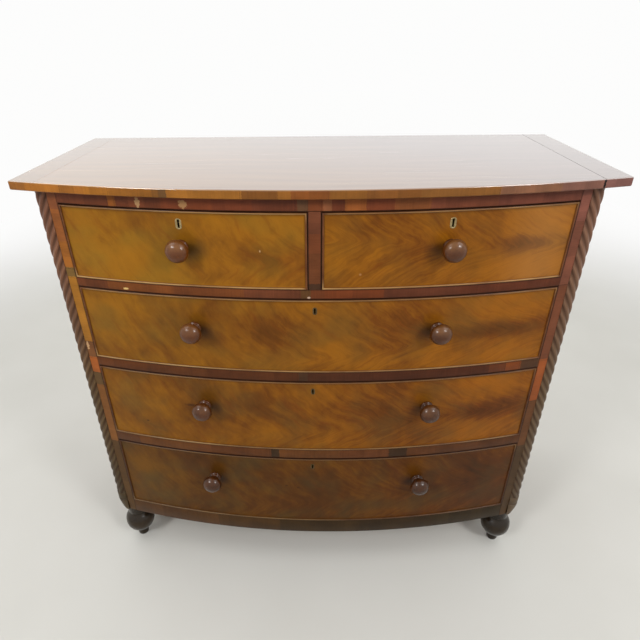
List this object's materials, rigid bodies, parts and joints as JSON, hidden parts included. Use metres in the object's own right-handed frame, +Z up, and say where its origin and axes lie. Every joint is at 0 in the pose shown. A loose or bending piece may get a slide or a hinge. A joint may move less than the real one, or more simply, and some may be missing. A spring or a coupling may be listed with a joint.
{
  "type": "bow front chest of drawers",
  "caption": "Mahogany chest with a bowed front, short drawers over long ones, rope-twist corner columns, turned knobs and turned feet.",
  "frame": {"origin": "on the floor, under the middle of the bounding box", "axes": "+X to the right seen from the front, -Y out of the bowed front where the drawers open, +Z up"},
  "size_m": [1.216, 0.5358, 1.0925],
  "materials": {
    "top_wood": "polished",
    "flame_wood": "polished",
    "rail_wood": "polished",
    "column_wood": "polished",
    "knob_wood": "polished",
    "foot_wood": "satin",
    "side_wood": "polished",
    "inner_wood": "bare",
    "brass": "aged"
  },
  "bodies": {
    "case": {"top_board": "top_wood", "side_left": "side_wood", "side_right": "side_wood", "back_panel": "inner_wood", "corner_post_left": "rail_wood", "corner_post_right": "rail_wood", "column_left": "column_wood", "column_right": "column_wood", "frieze_rail": "rail_wood", "rail_upper": "rail_wood", "rail_middle": "rail_wood", "rail_lower": "rail_wood", "base_rail": "rail_wood", "centre_division": "rail_wood", "dustboard_upper": "inner_wood", "dustboard_middle": "inner_wood", "dustboard_lower": "inner_wood", "bottom_board": "inner_wood", "foot_front_left": "foot_wood", "foot_front_right": "foot_wood", "foot_back_left": "foot_wood", "foot_back_right": "foot_wood"},
    "drawer_short_left": {"drawer_short_left_front": "flame_wood", "drawer_short_left_side_left": "inner_wood", "drawer_short_left_side_right": "inner_wood", "drawer_short_left_back": "inner_wood", "drawer_short_left_bottom": "inner_wood", "drawer_short_left_lock": "brass", "drawer_short_left_knob": "knob_wood"},
    "drawer_short_right": {"drawer_short_right_front": "flame_wood", "drawer_short_right_side_left": "inner_wood", "drawer_short_right_side_right": "inner_wood", "drawer_short_right_back": "inner_wood", "drawer_short_right_bottom": "inner_wood", "drawer_short_right_lock": "brass", "drawer_short_right_knob": "knob_wood"},
    "drawer_upper": {"drawer_upper_front": "flame_wood", "drawer_upper_side_left": "inner_wood", "drawer_upper_side_right": "inner_wood", "drawer_upper_back": "inner_wood", "drawer_upper_bottom": "inner_wood", "drawer_upper_lock": "brass", "drawer_upper_knob_left": "knob_wood", "drawer_upper_knob_right": "knob_wood"},
    "drawer_middle": {"drawer_middle_front": "flame_wood", "drawer_middle_side_left": "inner_wood", "drawer_middle_side_right": "inner_wood", "drawer_middle_back": "inner_wood", "drawer_middle_bottom": "inner_wood", "drawer_middle_lock": "brass", "drawer_middle_knob_left": "knob_wood", "drawer_middle_knob_right": "knob_wood"},
    "drawer_lower": {"drawer_lower_front": "flame_wood", "drawer_lower_side_left": "inner_wood", "drawer_lower_side_right": "inner_wood", "drawer_lower_back": "inner_wood", "drawer_lower_bottom": "inner_wood", "drawer_lower_lock": "brass", "drawer_lower_knob_left": "knob_wood", "drawer_lower_knob_right": "knob_wood"}
  },
  "joints": [
    {"name": "short_left_slide", "type": "slide", "parent": "case", "child": "drawer_short_left", "axis": [0, -1, 0], "range_m": [0, 0.33]},
    {"name": "short_right_slide", "type": "slide", "parent": "case", "child": "drawer_short_right", "axis": [0, -1, 0], "range_m": [0, 0.33]},
    {"name": "upper_slide", "type": "slide", "parent": "case", "child": "drawer_upper", "axis": [0, -1, 0], "range_m": [0, 0.33]},
    {"name": "middle_slide", "type": "slide", "parent": "case", "child": "drawer_middle", "axis": [0, -1, 0], "range_m": [0, 0.33]},
    {"name": "lower_slide", "type": "slide", "parent": "case", "child": "drawer_lower", "axis": [0, -1, 0], "range_m": [0, 0.33]}
  ]
}
